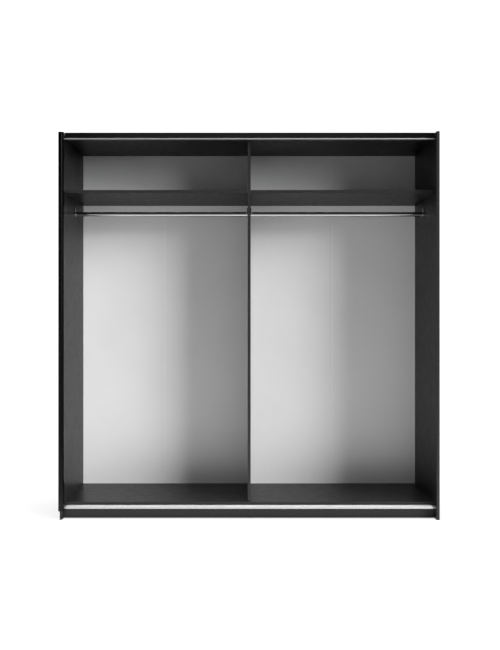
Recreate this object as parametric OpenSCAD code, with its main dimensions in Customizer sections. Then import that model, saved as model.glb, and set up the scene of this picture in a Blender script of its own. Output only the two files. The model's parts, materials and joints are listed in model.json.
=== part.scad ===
// Sliding door wardrobe carcass with two bays, door tracks, shelves and hanging rails.
// Origin: middle of the footprint on the floor. X to the right, Y to the back, Z up.
// Depths (names ending in _at or d0, d1) are measured backwards from the front plane.

/* [Overall size] */
// Width over the side panels
wardrobe_w = 2000; // [1800:10:2400]
// Height from the floor to the top
wardrobe_h = 2042; // [1960:10:2300]
// Depth of the side panels
wardrobe_d = 620; // [600:5:680]
// Thickness of the boards
board = 16; // [15:1:18]

/* [Door recess] */
// Depth of the top and bottom panels' front edge behind the front plane
recess = 57; // [57:1:70]
// Depth of the left side panel's front edge, where the closing profile sits
left_panel_at = 28; // [24:1:34]
// Width of the closing profile
closing_w = 25; // [25:1:30]
// How far the closing profile stands out beyond the side panel's outer face
closing_over = 2; // [0:0.5:4]

/* [Base] */
// Height of the bottom panel's underside
base_h = 68; // [66:1:100]
// Thickness of the glides
glide_t = 2; // [1.5:0.5:5]
// Depth of the rear plinth's front face
rear_plinth_at = 580; // [540:1:585]
// Travel of the adjustable feet
foot_travel = 12; // [5:1:12]

/* [Tracks] */
// Depth of the bottom track's front face
bottom_track_at = 13; // [13:1:20]
// Height of the bottom track
bottom_track_h = 10.5; // [10:0.5:14]
// Height of the top track's lower lip
top_lip_h = 5.3; // [5:0.1:8]
// Height of the black cover strip
fascia_h = 29.7; // [28:0.1:34]
// Depth of the cover strip's front face
fascia_at = 35; // [32:1:45]

/* [Interior] */
// Depth of the partition's and the shelves' front edge
inner_front = 87; // [80:1:120]
// Height of the shelves' underside
shelf_z = 1730; // [1600:1:1800]
// Height of the hanging rails' axis
rail_z = 1648; // [1500:1:1660]
// Depth of the hanging rails' axis
rail_at = 345; // [250:5:380]
// Outer diameter of the hanging rails
rail_dia = 25; // [18:1:28]
// Lift that takes a rail out of its cups
rail_lift = 50; // [20:1:60]

/* [Back] */
// Depth of the back panels' front face
back_at = 605; // [590:1:606]
// Thickness of the back panels
back_t = 3; // [3:0.5:4]
// Width of the left strip of each bay's back
back_strip_w = 480; // [400:10:520]

/* [Hidden] */
$fn = 48;

charcoal = [0.20, 0.20, 0.21];
pale_grey = [0.78, 0.78, 0.79];
near_black = [0.05, 0.05, 0.05];
bright_metal = [0.82, 0.82, 0.84];
zinc = [0.62, 0.63, 0.65];
mid_grey = [0.40, 0.40, 0.41];
beech = [0.80, 0.66, 0.46];

eps = 1;                              // overshoot of every cutting tool
gap = 0.5;                            // room at each end of a loose shelf
slip = 0.1;                           // room between a fitting and its hole, on radius
x_out = wardrobe_w / 2;               // outer face of a side panel
x_in = x_out - board;                 // inner face of a side panel
x_mid = board / 2;                    // face of the partition
floor_z = base_h + board;             // upper face of the bottom panel
ceiling_z = wardrobe_h - board;       // underside of the top panel
mid_top_z = wardrobe_h - board / 2;   // middle of the top panel's thickness
mid_bottom_z = base_h + board / 2;    // middle of the bottom panel's thickness

// Back panels: grooves in the side panels, seams with joining strips
groove_deep = 6;
groove_slack = 0.2;
back_entry = 5;                       // how far a back panel reaches into its groove
back_z0 = base_h + 2;
back_z1 = wardrobe_h - 2;
seam_web = 2;
seam_flange_w = 10;
seam_flange_t = 1;
left_seam_x = -x_in + back_strip_w;
right_seam_x = x_mid + back_strip_w;

// Cam fittings, dowels and screws
cam_depths = [105, 330, 560];         // depths of the cams
dowel_depths = [150, 500];            // depths of the dowels
cam_dia = 15;
cam_h = 12.5;
cam_reach = 34;                       // from the panel's end to the cam's axis
bolt_dia = 7;
bolt_entry = 11;                      // length of a cam bolt in the side panel
dowel_dia = 8;
dowel_entry = 11;
dowel_reach = 21;
partition_screw_depths = [130, 340, 550];
partition_screw_len = 50;
partition_screw_dia = 5;
partition_head_dia = 10;
partition_head_h = 3;

// Shelf supports: a pin with a flat tongue
support_depths = [150, 540];
support_pin_dia = 5;
support_pin_len = 7;
tongue_len = 12;
tongue_w = 10;
tongue_t = 2.5;
shelf_back_gap = 2;

// Rail brackets: a plate with an open cup
bracket_t = 4;
bracket_w = 26;
bracket_top = rail_z + 36;
bracket_hole_z = [rail_z + 26];
cup_len = 8;
cup_wall = 3;
cup_slack = 0.3;
rail_wall = 1.2;
rail_end_gap = 0.6;
rail_x0 = x_mid + bracket_t + rail_end_gap;
rail_x1 = x_in - bracket_t - rail_end_gap;
wood_screw_dia = 3.5;
wood_screw_len = 13;
wood_head_dia = 7;
wood_head_h = 2;
partition_side_screw_len = 10;        // two of these meet in one board without touching

// Feet under the middle of the carcass
foot_depths = [150, 520];
foot_pad_dia = 50;
foot_pad_h = 8;
foot_stem_dia = 10;
foot_slack = 0.25;
socket_plate = 60;
socket_plate_t = 3;
socket_boss_dia = 24;
socket_boss_z = 38;
socket_screw_offset = 23;

// Partition shoe
shoe_len = 40;
shoe_h = 16.5;
shoe_slack = 0.1;

// Glides
glide_depths = [65, 585];
glide_len = 30;
glide_w = 14;
plinth_glide_w = 42;

// Plinth brackets
plinth_bracket_x = [-880, -300, 300, 880];
bracket_leg = 22;
bracket_leg_t = 2;
bracket_run = 18;

// Top track: an open-topped channel for the door hangers
top_track_half = x_out - 19;
fascia_x0 = -x_out + closing_w;
fascia_z0 = wardrobe_h - fascia_h;
track_z0 = fascia_z0 - top_lip_h;
track_floor_t = 2.3;
track_back_t = 2;
lip_t = 2;
fascia_t = 2;
tongue_behind_lip = 1.5;
top_screw_x = [-900, -650, -400, -130, 130, 400, 650, 900];
top_screw_head_h = 1.8;
stop_len = 30;
stop_h = 18;

// Bottom track: a grooved rail in front of the plinth
bottom_track_half = x_out - 34;
bottom_track_z0 = base_h - bottom_track_h;
bottom_track_floor = 2.5;
guide_w = 8;                          // width of each door guide groove
guide_at = [18, 40];                  // depths of the grooves' front walls
relief = [29, 37];                    // hollow underneath, between the grooves
relief_z = base_h - 3;
bottom_screw_x = [-860, -520, -180, 180, 520, 860];
port_z = bottom_track_z0 + 5;
port_dia = 3.6;

// Closing profile
closing_top = wardrobe_h - 3;
closing_foot = 46;
bead_r = 2.4;
bead_u = 13.5;                        // bead's middle, from the outer face
band_set = 1.2;                       // how far the flat band stands behind the bead
brush_u = [20.2, 23.8];
brush_front = 1;
brush_back = 11;
closing_leg = 12;                     // leg on the side panel's inner face
closing_leg_t = 1.5;
closing_screw_z = [120, 560, 1000, 1440, 1880];

// Screws through the back panels
back_screw_dia = 3;
back_screw_len = 18;
back_head_dia = 6;
back_head_h = 1.6;
back_screw_inset = 60;
back_column_z = [250, 600, 950, 1300, 1650, 1900];

// Moves children to x, a depth behind the front plane, and z
module at(x, d, z) {
  translate([x, d - wardrobe_d / 2, z]) children();
}

// A straight board or block between two corners
module slab(x0, x1, d0, d1, z0, z1) {
  at(x0, d0, z0) cube([x1 - x0, d1 - d0, z1 - z0]);
}

// Round bar along +X from (x, d, z)
module bar_x(x, d, z, dia, len) {
  at(x, d, z) rotate([0, 90, 0]) cylinder(d = dia, h = len);
}

// Round bar along +Y (to the back) from (x, d, z)
module bar_y(x, d, z, dia, len) {
  at(x, d, z) rotate([-90, 0, 0]) cylinder(d = dia, h = len);
}

// Round bar along +Z from (x, d, z)
module bar_z(x, d, z, dia, len) {
  at(x, d, z) cylinder(d = dia, h = len);
}

// Profile drawn in depth (across) and height, run along X from x0 to x1
module run_x(x0, x1) {
  translate([x0, -wardrobe_d / 2, 0]) rotate([90, 0, 90]) linear_extrude(x1 - x0) children();
}

// Repeats children on the left and, mirrored, on the right
module both_sides() {
  children();
  mirror([1, 0, 0]) children();
}

// ---- holes shared by several boards -------------------------------------------------

// Holes in a right-hand side panel for the fittings of a panel at height z
module side_fitting_holes(z) {
  for (d = cam_depths)
    bar_x(x_in - eps, d, z, bolt_dia + 2 * slip, bolt_entry + eps + slip);
  for (d = dowel_depths)
    bar_x(x_in - eps, d, z, dowel_dia + 2 * slip, dowel_entry + eps + slip);
}

// Bores in the right end of a panel at height z
module end_bores(z) {
  for (d = cam_depths)
    bar_x(x_in - cam_reach, d, z, bolt_dia + 2 * slip, cam_reach + eps);
  for (d = dowel_depths)
    bar_x(x_in - dowel_reach - slip, d, z, dowel_dia + 2 * slip, dowel_reach + eps + slip);
}

// Pockets for the cam discs; z is the low end of the pocket
module cam_pockets(z) {
  for (d = cam_depths)
    bar_z(x_in - cam_reach, d, z, cam_dia + 2 * slip, cam_h + slip + eps);
}

// Groove of a right-hand side panel for the back panels
module back_groove() {
  slab(x_in - eps, x_in + groove_deep, back_at - groove_slack, back_at + back_t + groove_slack,
    base_h, wardrobe_h + eps);
}

// Holes in the face of a board at x for the shelf supports, towards +X
module support_holes(x) {
  for (d = support_depths)
    bar_x(x - eps, d, shelf_z - tongue_t / 2 - 1.25, support_pin_dia + 2 * slip,
      support_pin_len + eps + slip);
}

// Pilot holes for the rail bracket screws, towards +X
module rail_pilot(x, len) {
  for (z = bracket_hole_z)
    bar_x(x - eps, rail_at, z, wood_screw_dia + 2 * slip, len + eps + slip);
}

// Pilot holes in a panel's back edge for the back panel screws
module back_edge_pilots(z) {
  for (x = back_screw_columns())
    bar_y(x, back_at - back_screw_len, z, back_screw_dia + 2 * slip, back_screw_len + eps);
}

// Positions of the screws along the top and bottom of the back
function back_screw_columns() = [
  for (pair = back_strips)
    for (x = [pair[0] + back_screw_inset, (pair[0] + pair[1]) / 2, pair[1] - back_screw_inset]) x];

// Left and right edge of each back panel
back_strips = [
  [-x_in - back_entry, left_seam_x - seam_web / 2 - groove_slack],
  [left_seam_x + seam_web / 2 + groove_slack, -seam_web / 2],
  [seam_web / 2, right_seam_x - seam_web / 2 - groove_slack],
  [right_seam_x + seam_web / 2 + groove_slack, x_in + back_entry]];

// ---- carcass ------------------------------------------------------------------------

module right_side_panel() {
  color(charcoal) difference() {
    slab(x_in, x_out, 0, wardrobe_d, glide_t, wardrobe_h);
    back_groove();
    side_fitting_holes(mid_top_z);
    side_fitting_holes(mid_bottom_z);
    support_holes(x_in);
    rail_pilot(x_in, wood_screw_len - bracket_t);
  }
}

module left_side_panel() {
  color(charcoal) difference() {
    slab(-x_out, -x_in, left_panel_at, wardrobe_d, glide_t, wardrobe_h);
    mirror([1, 0, 0]) {
      back_groove();
      side_fitting_holes(mid_top_z);
      side_fitting_holes(mid_bottom_z);
      support_holes(x_in);
      rail_pilot(x_in, wood_screw_len - bracket_t);
      closing_screw_shanks(slip);
    }
  }
}

module top_panel() {
  color(charcoal) difference() {
    slab(-x_in, x_in, recess, back_at, ceiling_z, wardrobe_h);
    both_sides() {
      end_bores(mid_top_z);
      cam_pockets(wardrobe_h - cam_h - slip);
    }
    for (d = partition_screw_depths) {
      bar_z(0, d, ceiling_z - eps, partition_screw_dia + 2 * slip, board + 2 * eps);
      bar_z(0, d, wardrobe_h - partition_head_h, partition_head_dia + 2 * slip, partition_head_h + eps);
    }
    for (x = top_screw_x)
      bar_y(x, recess - eps, mid_top_z, wood_screw_dia + 2 * slip, wood_screw_len + eps);
    back_edge_pilots(mid_top_z);
  }
}

module bottom_panel() {
  color(charcoal) difference() {
    slab(-x_in, x_in, recess, back_at, base_h, floor_z);
    both_sides() {
      end_bores(mid_bottom_z);
      cam_pockets(base_h - eps);
    }
    for (d = partition_screw_depths) {
      bar_z(0, d, base_h - eps, partition_screw_dia + 2 * slip, board + 2 * eps);
      bar_z(0, d, base_h - eps, partition_head_dia + 2 * slip, partition_head_h + eps);
    }
    foot_socket_shanks(slip);
    plinth_bracket_shanks(slip);
    back_edge_pilots(mid_bottom_z);
  }
}

module partition() {
  color(charcoal) difference() {
    slab(-x_mid, x_mid, inner_front, back_at, floor_z, ceiling_z);
    slab(-x_out, x_out, inner_front - eps, inner_front + shoe_len, floor_z - eps, floor_z + shoe_h);
    both_sides() {
      support_holes_from_left();
      partition_rail_pilots();
    }
    for (d = partition_screw_depths) {
      bar_z(0, d, floor_z - eps, partition_screw_dia + 2 * slip, partition_screw_len - board + eps + slip);
      bar_z(0, d, ceiling_z - partition_screw_len + board - slip, partition_screw_dia + 2 * slip,
        partition_screw_len);
    }
    for (z = back_column_z)
      bar_y(0, back_at - back_screw_len, z, back_screw_dia + 2 * slip, back_screw_len + eps);
  }
}

// Shelf support holes in the partition's right face, drilled towards -X
module support_holes_from_left() {
  for (d = support_depths)
    bar_x(x_mid - support_pin_len - slip, d, shelf_z - tongue_t / 2 - 1.25,
      support_pin_dia + 2 * slip, support_pin_len + eps + slip);
}

// Rail bracket pilots in the partition's right face, drilled towards -X
module partition_rail_pilots() {
  pilot = partition_side_screw_len - bracket_t;
  for (z = bracket_hole_z)
    bar_x(x_mid - pilot - slip, rail_at, z, wood_screw_dia + 2 * slip, pilot + eps + slip);
}

module partition_shoe() {
  color(near_black) difference() {
    slab(-x_mid, x_mid, inner_front, inner_front + shoe_len - shoe_slack, floor_z,
      floor_z + shoe_h - shoe_slack);
    for (side = [-1, 1])
      slab(side * 5 - 1.5, side * 5 + 1.5, inner_front + 6, inner_front + shoe_len - 6,
        floor_z - eps, floor_z + shoe_h - 4);
  }
}

// One shelf between x0 and x1
module shelf(x0, x1) {
  color(charcoal)
    slab(x0 + gap, x1 - gap, inner_front, back_at - shelf_back_gap, shelf_z, shelf_z + board);
}

module left_shelf() {
  shelf(-x_in, -x_mid);
}

module right_shelf() {
  shelf(x_mid, x_in);
}

// ---- back ---------------------------------------------------------------------------

module back_panel(index) {
  x0 = back_strips[index][0];
  x1 = back_strips[index][1];
  color(pale_grey) difference() {
    slab(x0, x1, back_at, back_at + back_t, back_z0, back_z1);
    back_screw_shanks(slip);
  }
}

module back_panel_1() {
  back_panel(0);
}

module back_panel_2() {
  back_panel(1);
}

module back_panel_3() {
  back_panel(2);
}

module back_panel_4() {
  back_panel(3);
}

// H-shaped strip that joins two back panels at x
module back_joint(x) {
  z0 = floor_z + gap;
  z1 = ceiling_z - gap;
  half = seam_flange_w / 2;
  color(pale_grey) {
    slab(x - seam_web / 2, x + seam_web / 2, back_at, back_at + back_t, z0, z1);
    slab(x - half, x + half, back_at - seam_flange_t, back_at, z0, z1);
    slab(x - half, x + half, back_at + back_t, back_at + back_t + seam_flange_t, z0, z1);
  }
}

module back_joint_left() {
  back_joint(left_seam_x);
}

module back_joint_right() {
  back_joint(right_seam_x);
}

// Shanks of all screws that hold the back, also used as a cutting tool
module back_screw_shanks(room) {
  dia = back_screw_dia + 2 * room;
  for (z = [mid_top_z, mid_bottom_z])
    for (x = back_screw_columns())
      bar_y(x, back_at - back_screw_len + back_t, z, dia, back_screw_len);
  for (z = back_column_z)
    bar_y(0, back_at - back_screw_len + back_t, z, dia, back_screw_len);
}

module back_screws() {
  color(zinc) {
    back_screw_shanks(0);
    for (z = [mid_top_z, mid_bottom_z])
      for (x = back_screw_columns()) back_screw_head(x, z);
    for (z = back_column_z) back_screw_head(0, z);
  }
}

module back_screw_head(x, z) {
  bar_y(x, back_at + back_t, z, back_head_dia, back_head_h);
}

// ---- base ---------------------------------------------------------------------------

module front_plinth() {
  color(charcoal) difference() {
    slab(-x_in, x_in, recess, recess + board, glide_t, base_h);
    for (x = bottom_screw_x)
      bar_y(x, recess - eps, port_z, port_dia + 2 * slip, board + 2 * eps);
    plinth_bracket_shanks(slip);
  }
}

module rear_plinth() {
  color(charcoal) difference() {
    slab(-x_in, x_in, rear_plinth_at, rear_plinth_at + board, glide_t, base_h);
    plinth_bracket_shanks(slip);
  }
}

// One steel angle in the corner between a plinth face at d and the bottom panel.
// side is +1 when the angle lies behind the plinth and -1 when it lies in front of it
module plinth_bracket(x, d, side) {
  leg_d0 = side > 0 ? d : d - bracket_leg;
  wall_d0 = side > 0 ? d : d - bracket_leg_t;
  slab(x - bracket_run / 2, x + bracket_run / 2, leg_d0, leg_d0 + bracket_leg,
    base_h - bracket_leg_t, base_h);
  slab(x - bracket_run / 2, x + bracket_run / 2, wall_d0, wall_d0 + bracket_leg_t,
    base_h - bracket_leg, base_h - bracket_leg_t);
}

module plinth_brackets() {
  color(zinc) difference() {
    for (x = plinth_bracket_x) {
      plinth_bracket(x, recess + board, 1);
      plinth_bracket(x, rear_plinth_at, -1);
    }
    plinth_bracket_shanks(slip);
  }
}

// Screw shanks of the plinth brackets: one up into the panel, one into the plinth
module plinth_bracket_shanks(room) {
  dia = wood_screw_dia + 2 * room;
  up = bracket_leg * 0.6;
  low = base_h - bracket_leg * 0.6;
  len = wood_screw_len;
  for (x = plinth_bracket_x) {
    bar_z(x, recess + board + up, base_h - bracket_leg_t, dia, len);
    bar_z(x, rear_plinth_at - up, base_h - bracket_leg_t, dia, len);
    bar_y(x, recess + board + bracket_leg_t - len, low, dia, len);
    bar_y(x, rear_plinth_at - bracket_leg_t, low, dia, len);
  }
}

module plinth_bracket_screws() {
  up = bracket_leg * 0.6;
  low = base_h - bracket_leg * 0.6;
  color(zinc) {
    plinth_bracket_shanks(0);
    for (x = plinth_bracket_x) {
      for (d = [recess + board + up, rear_plinth_at - up])
        bar_z(x, d, base_h - bracket_leg_t - wood_head_h, wood_head_dia, wood_head_h);
      bar_y(x, recess + board + bracket_leg_t, low, wood_head_dia, wood_head_h);
      bar_y(x, rear_plinth_at - bracket_leg_t - wood_head_h, low, wood_head_dia, wood_head_h);
    }
  }
}

module side_glides() {
  color(near_black) both_sides()
    for (d = glide_depths)
      slab(x_in + (board - glide_w) / 2, x_out - (board - glide_w) / 2, d - glide_len / 2,
        d + glide_len / 2, 0, glide_t);
}

module plinth_glide() {
  color(near_black)
    slab(-plinth_glide_w / 2, plinth_glide_w / 2, recess + 0.5, recess + board - 0.5, 0, glide_t);
}

module foot_sockets() {
  color(near_black) difference() {
    for (d = foot_depths) {
      slab(-socket_plate / 2, socket_plate / 2, d - socket_plate / 2, d + socket_plate / 2,
        base_h - socket_plate_t, base_h);
      bar_z(0, d, socket_boss_z, socket_boss_dia, base_h - socket_boss_z - socket_plate_t);
    }
    for (d = foot_depths)
      bar_z(0, d, socket_boss_z - eps, foot_stem_dia + 2 * foot_slack,
        base_h - socket_boss_z - socket_plate_t + eps);
    foot_socket_shanks(slip);
  }
}

// Screw shanks of the foot sockets, four to each
module foot_socket_shanks(room) {
  for (d = foot_depths)
    for (sx = [-1, 1])
      for (sd = [-1, 1])
        bar_z(sx * socket_screw_offset, d + sd * socket_screw_offset, base_h - socket_plate_t,
          wood_screw_dia + 2 * room, wood_screw_len);
}

module foot_socket_screws() {
  color(zinc) {
    foot_socket_shanks(0);
    for (d = foot_depths)
      for (sx = [-1, 1])
        for (sd = [-1, 1])
          bar_z(sx * socket_screw_offset, d + sd * socket_screw_offset,
            base_h - socket_plate_t - wood_head_h, wood_head_dia, wood_head_h);
  }
}

// Adjustable foot: a pad with a chamfered rim and a round stem
module foot(d) {
  r = foot_pad_dia / 2;
  stem_top = base_h - socket_plate_t - 2;
  color(near_black) at(0, d, 0) rotate_extrude()
    polygon([[0, 0], [r - 2, 0], [r, 2], [r, foot_pad_h - 3], [r - 3, foot_pad_h],
      [foot_stem_dia / 2, foot_pad_h], [foot_stem_dia / 2, stem_top - 1],
      [foot_stem_dia / 2 - 1, stem_top], [0, stem_top]]);
}

module front_foot() {
  foot(foot_depths[0]);
}

module rear_foot() {
  foot(foot_depths[1]);
}

// ---- door tracks --------------------------------------------------------------------

module top_track() {
  color(bright_metal) difference() {
    run_x(-top_track_half, top_track_half) polygon([
      [fascia_at, track_z0], [recess, track_z0], [recess, wardrobe_h],
      [recess - track_back_t, wardrobe_h], [recess - track_back_t, track_z0 + track_floor_t],
      [fascia_at + lip_t, track_z0 + track_floor_t], [fascia_at + lip_t, fascia_z0],
      [fascia_at, fascia_z0]]);
    for (x = top_screw_x)
      bar_y(x, recess - track_back_t - eps, mid_top_z, wood_screw_dia + 2 * slip,
        track_back_t + 2 * eps);
  }
}

module top_track_screws() {
  color(zinc) for (x = top_screw_x) {
    bar_y(x, recess - track_back_t, mid_top_z, wood_screw_dia, wood_screw_len);
    bar_y(x, recess - track_back_t - top_screw_head_h, mid_top_z, wood_head_dia, top_screw_head_h);
  }
}

module top_track_stops() {
  z0 = track_z0 + track_floor_t;
  d0 = fascia_at + fascia_t + tongue_behind_lip + slip;
  color(near_black) both_sides()
    slab(top_track_half - stop_len, top_track_half, d0, recess - track_back_t, z0, z0 + stop_h);
}

module top_fascia() {
  z_floor = track_z0 + track_floor_t;
  inner = fascia_at + lip_t;
  color(near_black) run_x(fascia_x0, top_track_half) polygon([
    [fascia_at, fascia_z0], [inner, fascia_z0], [inner, z_floor],
    [inner + tongue_behind_lip, z_floor], [inner + tongue_behind_lip, fascia_z0 + 6],
    [fascia_at + fascia_t, fascia_z0 + 6], [fascia_at + fascia_t, wardrobe_h - 1],
    [fascia_at + fascia_t - 1, wardrobe_h], [fascia_at + 1, wardrobe_h],
    [fascia_at, wardrobe_h - 1]]);
}

// Outline of the bottom track: two guide grooves on top, a relief underneath
module bottom_track_outline() {
  difference() {
    polygon([[bottom_track_at, bottom_track_z0 + 0.6], [bottom_track_at + 0.6, bottom_track_z0],
      [recess, bottom_track_z0], [recess, base_h], [bottom_track_at + 0.6, base_h],
      [bottom_track_at, base_h - 0.6]]);
    for (d = guide_at)
      translate([d, bottom_track_z0 + bottom_track_floor])
        square([guide_w, bottom_track_h]);
    translate([relief[0], bottom_track_z0 - eps])
      square([relief[1] - relief[0], relief_z - bottom_track_z0 + eps]);
  }
}

module bottom_track() {
  color(bright_metal) difference() {
    run_x(-bottom_track_half, bottom_track_half) bottom_track_outline();
    for (x = bottom_screw_x)
      bar_y(x, guide_at[1] + guide_w + 2, port_z, port_dia + 2 * slip, recess);
  }
}

// End caps of the bottom track; the left one is cut back around the closing profile
module bottom_track_caps() {
  color(mid_grey) difference() {
    both_sides()
      run_x(bottom_track_half, x_in) polygon([
        [bottom_track_at, bottom_track_z0 + 1], [bottom_track_at + 1, bottom_track_z0],
        [recess, bottom_track_z0], [recess, base_h], [bottom_track_at + 3, base_h],
        [bottom_track_at, base_h - 3]]);
    slab(-x_out - closing_over, -x_out + closing_w + slip, 0, left_panel_at + closing_leg + slip, 0,
      wardrobe_h);
  }
}

// Screws from behind the plinth into the track's solid rear wall
module bottom_track_screws() {
  tip = guide_at[1] + guide_w + 2 + slip;
  color(zinc) for (x = bottom_screw_x) {
    bar_y(x, tip, port_z, port_dia, recess + board - tip);
    bar_y(x, recess + board, port_z, wood_head_dia, wood_head_h);
  }
}

// ---- closing profile ----------------------------------------------------------------

// Cross-section in X (from the outer face, inwards) and depth
module closing_outline() {
  wall_in = brush_u[1] + 0.2;
  wall_out = brush_u[0] - 0.2;
  difference() {
    union() {
      translate([-closing_over, band_set])
        square([bead_u + closing_over, left_panel_at - band_set]);
      translate([bead_u, bead_r]) circle(bead_r);
      translate([bead_u, bead_r]) square([closing_w - bead_u, left_panel_at - bead_r]);
      translate([board, left_panel_at - eps])
        square([closing_leg_t, closing_leg + eps]);
    }
    translate([wall_out, -eps]) square([wall_in - wall_out, brush_back + 0.2 + eps]);
    translate([closing_w - 1.2, -eps]) square([2, bead_r + 2 + eps]);
  }
}

module closing_profile() {
  color(near_black) difference() {
    at(-x_out, 0, closing_foot) linear_extrude(closing_top - closing_foot) closing_outline();
    mirror([1, 0, 0]) closing_screw_shanks(slip);
  }
}

module closing_brush() {
  color(near_black)
    slab(-x_out + brush_u[0], -x_out + brush_u[1], brush_front, brush_back, closing_foot, closing_top);
}

// Shanks of the screws through the closing profile's leg, drawn on the right-hand side
module closing_screw_shanks(room) {
  for (z = closing_screw_z)
    bar_x(x_in - closing_leg_t, left_panel_at + closing_leg / 2, z, wood_screw_dia + 2 * room,
      wood_screw_len);
}

module closing_profile_screws() {
  color(near_black) mirror([1, 0, 0]) {
    closing_screw_shanks(0);
    for (z = closing_screw_z)
      bar_x(x_in - closing_leg_t - wood_head_h, left_panel_at + closing_leg / 2, z,
        wood_head_dia, wood_head_h);
  }
}

// ---- hanging rails ------------------------------------------------------------------

module hanging_rail(x0, x1) {
  color(bright_metal) difference() {
    bar_x(x0, rail_at, rail_z, rail_dia, x1 - x0);
    bar_x(x0 - eps, rail_at, rail_z, rail_dia - 2 * rail_wall, x1 - x0 + 2 * eps);
  }
}

module left_rail() {
  hanging_rail(-rail_x1, -rail_x0);
}

module right_rail() {
  hanging_rail(rail_x0, rail_x1);
}

// One bracket standing on the face at x and reaching towards +X
module rail_bracket(x) {
  inner_r = rail_dia / 2 + cup_slack;
  outer_r = inner_r + cup_wall;
  lip_z = rail_z + 7;
  difference() {
    union() {
      bar_x(x, rail_at, rail_z, 2 * outer_r, bracket_t + cup_len);
      slab(x, x + bracket_t, rail_at - bracket_w / 2, rail_at + bracket_w / 2, rail_z,
        bracket_top - bracket_w / 2);
      bar_x(x, rail_at, bracket_top - bracket_w / 2, bracket_w, bracket_t);
      slab(x + bracket_t, x + bracket_t + cup_len, rail_at - outer_r, rail_at + outer_r,
        rail_z, lip_z);
    }
    bar_x(x + bracket_t, rail_at, rail_z, 2 * inner_r, cup_len + eps);
    slab(x + bracket_t, x + bracket_t + cup_len + eps, rail_at - inner_r, rail_at + inner_r,
      rail_z, rail_z + 2 * outer_r);
    slab(x + bracket_t, x + bracket_t + cup_len + eps, rail_at - 2 * outer_r,
      rail_at + 2 * outer_r, lip_z, rail_z + 2 * outer_r);
    for (z = bracket_hole_z) {
      bar_x(x - eps, rail_at, z, wood_screw_dia + 2 * slip, bracket_t + 2 * eps);
      bar_x(x + bracket_t - wood_head_h, rail_at, z, wood_head_dia + 2 * slip, wood_head_h + eps);
    }
  }
}

module right_rail_brackets() {
  color(bright_metal) {
    rail_bracket(x_mid);
    mirror([1, 0, 0]) rail_bracket(-x_in);
  }
}

module left_rail_brackets() {
  color(bright_metal) mirror([1, 0, 0]) {
    rail_bracket(x_mid);
    mirror([1, 0, 0]) rail_bracket(-x_in);
  }
}

module rail_bracket_screws() {
  color(zinc) both_sides()
    for (z = bracket_hole_z) {
      bar_x(x_in - bracket_t, rail_at, z, wood_screw_dia, wood_screw_len);
      bar_x(x_in - bracket_t, rail_at, z, wood_head_dia, wood_head_h);
      bar_x(x_mid - partition_side_screw_len + bracket_t, rail_at, z, wood_screw_dia,
        partition_side_screw_len);
      bar_x(x_mid + bracket_t - wood_head_h, rail_at, z, wood_head_dia, wood_head_h);
    }
}

// ---- fittings -----------------------------------------------------------------------

// A support whose pin enters a board face at x (on its +X side) and whose tongue reaches -X
module shelf_support(x, d) {
  bar_x(x, d, shelf_z - tongue_t / 2 - 1.25, support_pin_dia, support_pin_len);
  slab(x - tongue_len, x, d - tongue_w / 2, d + tongue_w / 2, shelf_z - tongue_t, shelf_z);
}

module shelf_supports() {
  color(near_black) both_sides()
    for (d = support_depths) {
      shelf_support(x_in, d);
      translate([2 * x_mid, 0, 0]) mirror([1, 0, 0]) shelf_support(x_mid, d);
    }
}

// Cam disc with a cross bore for its bolt and a driver slot; up is +1 or -1 for the open face
module cam_disc(d, z, up) {
  difference() {
    bar_z(x_in - cam_reach, d, z, cam_dia, cam_h);
    bar_x(x_in - cam_reach - 1, d, up > 0 ? mid_top_z : mid_bottom_z, bolt_dia + 2 * slip, cam_dia);
    slab(x_in - cam_reach - 4, x_in - cam_reach + 4, d - 0.8, d + 0.8,
      up > 0 ? z + cam_h - 2 : z - eps, up > 0 ? z + cam_h + eps : z + 2);
  }
}

module cam_discs() {
  color(zinc) both_sides()
    for (d = cam_depths) {
      cam_disc(d, wardrobe_h - cam_h, 1);
      cam_disc(d, base_h, -1);
    }
}

module cam_bolts() {
  color(zinc) both_sides()
    for (d = cam_depths)
      for (z = [mid_top_z, mid_bottom_z])
        bar_x(x_in - cam_reach + slip, d, z, bolt_dia, cam_reach + bolt_entry - slip);
}

module dowels() {
  color(beech) both_sides()
    for (d = dowel_depths)
      for (z = [mid_top_z, mid_bottom_z])
        bar_x(x_in - dowel_reach, d, z, dowel_dia, dowel_reach + dowel_entry);
}

module partition_screws() {
  color(zinc) for (d = partition_screw_depths) {
    bar_z(0, d, wardrobe_h - partition_screw_len, partition_screw_dia, partition_screw_len);
    bar_z(0, d, wardrobe_h - partition_head_h, partition_head_dia, partition_head_h);
    bar_z(0, d, base_h, partition_screw_dia, partition_screw_len);
    bar_z(0, d, base_h, partition_head_dia, partition_head_h);
  }
}

left_side_panel();
right_side_panel();
top_panel();
bottom_panel();
partition();
partition_shoe();
left_shelf();
right_shelf();
back_panel_1();
back_panel_2();
back_panel_3();
back_panel_4();
back_joint_left();
back_joint_right();
front_plinth();
rear_plinth();
plinth_brackets();
plinth_bracket_screws();
side_glides();
plinth_glide();
foot_sockets();
foot_socket_screws();
front_foot();
rear_foot();
top_track();
top_track_screws();
top_track_stops();
top_fascia();
bottom_track();
bottom_track_caps();
bottom_track_screws();
closing_profile();
closing_brush();
closing_profile_screws();
left_rail();
right_rail();
left_rail_brackets();
right_rail_brackets();
rail_bracket_screws();
shelf_supports();
cam_discs();
cam_bolts();
dowels();
partition_screws();
back_screws();
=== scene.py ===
import json
import math
import random

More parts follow.
